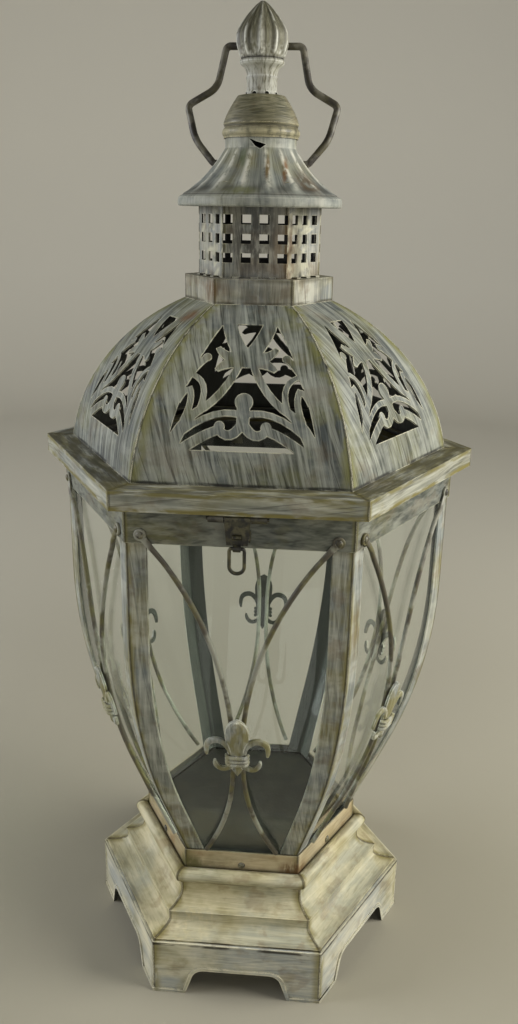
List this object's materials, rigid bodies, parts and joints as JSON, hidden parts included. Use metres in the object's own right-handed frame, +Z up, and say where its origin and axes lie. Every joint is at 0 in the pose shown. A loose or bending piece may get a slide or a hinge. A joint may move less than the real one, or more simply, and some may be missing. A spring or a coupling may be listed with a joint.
{
  "type": "lantern floor lamp",
  "caption": "Hexagonal metal and glass candle lantern on a moulded foot, with a hinged pierced dome lid, chimney, fluted bell canopy, finial, swinging bail and hasp.",
  "frame": {"origin": "centre of the lantern's foot on the floor plane", "axes": "+Z up the lantern to the finial's tip, -Y out of the front side with the hasp, +Y towards the lid's hinge, +X to the right seen from the front"},
  "size_m": [0.2698, 0.236, 0.6],
  "materials": {
    "washed_metal": "dark sheet metal under a brushed grey whitewash, matt, worn at the edges",
    "base_metal": "dark sheet metal under a yellow beige and grey wash, matt",
    "collar_metal": "sheet metal with rusty tan and olive streaks, matt",
    "dark_metal": "dark brown blackened steel, satin",
    "scroll_wire": "dark brown steel wire with worn white patches",
    "pale_leaf": "cast sheet ornament under a pale grey wash with an olive middle",
    "cap_metal": "spun metal, olive brown with yellowish and pale worn edges",
    "clear_glass": "clear flat sheet glass bent to the frame, faint green at its edges"
  },
  "bodies": {
    "base": {"foot_skirt_front": "base_metal", "foot_skirt_back": "base_metal", "base_plinth": "base_metal", "bead_ring": "base_metal", "base_collar": "collar_metal", "collar_screws": "dark_metal", "floor_plate": "dark_metal", "corner_post_1": "washed_metal", "corner_post_2": "washed_metal", "corner_post_3": "washed_metal", "corner_post_4": "washed_metal", "corner_post_5": "washed_metal", "corner_post_6": "washed_metal", "glass_pane_1": "clear_glass", "glass_pane_2": "clear_glass", "glass_pane_3": "clear_glass", "glass_pane_4": "clear_glass", "glass_pane_5": "clear_glass", "glass_pane_6": "clear_glass", "top_band": "washed_metal", "glass_clips": "dark_metal", "scroll_wires_1": "scroll_wire", "scroll_wires_2": "scroll_wire", "scroll_wires_3": "scroll_wire", "scroll_wires_4": "scroll_wire", "scroll_wires_5": "scroll_wire", "scroll_wires_6": "scroll_wire", "lily_1": "pale_leaf", "lily_2": "pale_leaf", "lily_3": "pale_leaf", "lily_4": "pale_leaf", "lily_5": "pale_leaf", "lily_6": "pale_leaf", "band_rivets": "dark_metal", "hinge_lower_leaf": "dark_metal", "hinge_pin": "dark_metal", "hasp_keeper": "dark_metal"},
    "lid": {"ledge_rim": "washed_metal", "dome_panel_1": "washed_metal", "dome_panel_2": "washed_metal", "dome_panel_3": "washed_metal", "dome_panel_4": "washed_metal", "dome_panel_5": "washed_metal", "dome_panel_6": "washed_metal", "dome_box": "washed_metal", "chimney": "washed_metal", "canopy": "washed_metal", "canopy_cap": "cap_metal", "finial": "cap_metal", "finial_rod": "dark_metal", "finial_nut": "dark_metal", "hinge_upper_leaf": "dark_metal", "lid_rivets": "dark_metal", "hasp_bracket": "washed_metal", "hasp_pin": "dark_metal"},
    "bail": {"bail": "dark_metal"},
    "hasp": {"hasp_tongue": "dark_metal"},
    "ring": {"hasp_ring": "dark_metal"}
  },
  "joints": [
    {"name": "lid_hinge", "type": "hinge", "parent": "base", "child": "lid", "pos_m": [0, 0.1099, 0.3396], "axis": [-1, 0, 0], "range_deg": [0, 105]},
    {"name": "bail_pivot", "type": "hinge", "parent": "lid", "child": "bail", "pos_m": [0, 0, 0.517], "axis": [-1, 0, 0], "range_deg": [0, 90]},
    {"name": "hasp_hinge", "type": "hinge", "parent": "lid", "child": "hasp", "pos_m": [0, -0.1145, 0.3402], "axis": [-1, 0, 0], "range_deg": [0, 90]},
    {"name": "ring_hinge", "type": "hinge", "parent": "hasp", "child": "ring", "pos_m": [0, -0.11728, 0.3248], "axis": [-1, 0, 0], "range_deg": [-20, 100]}
  ]
}
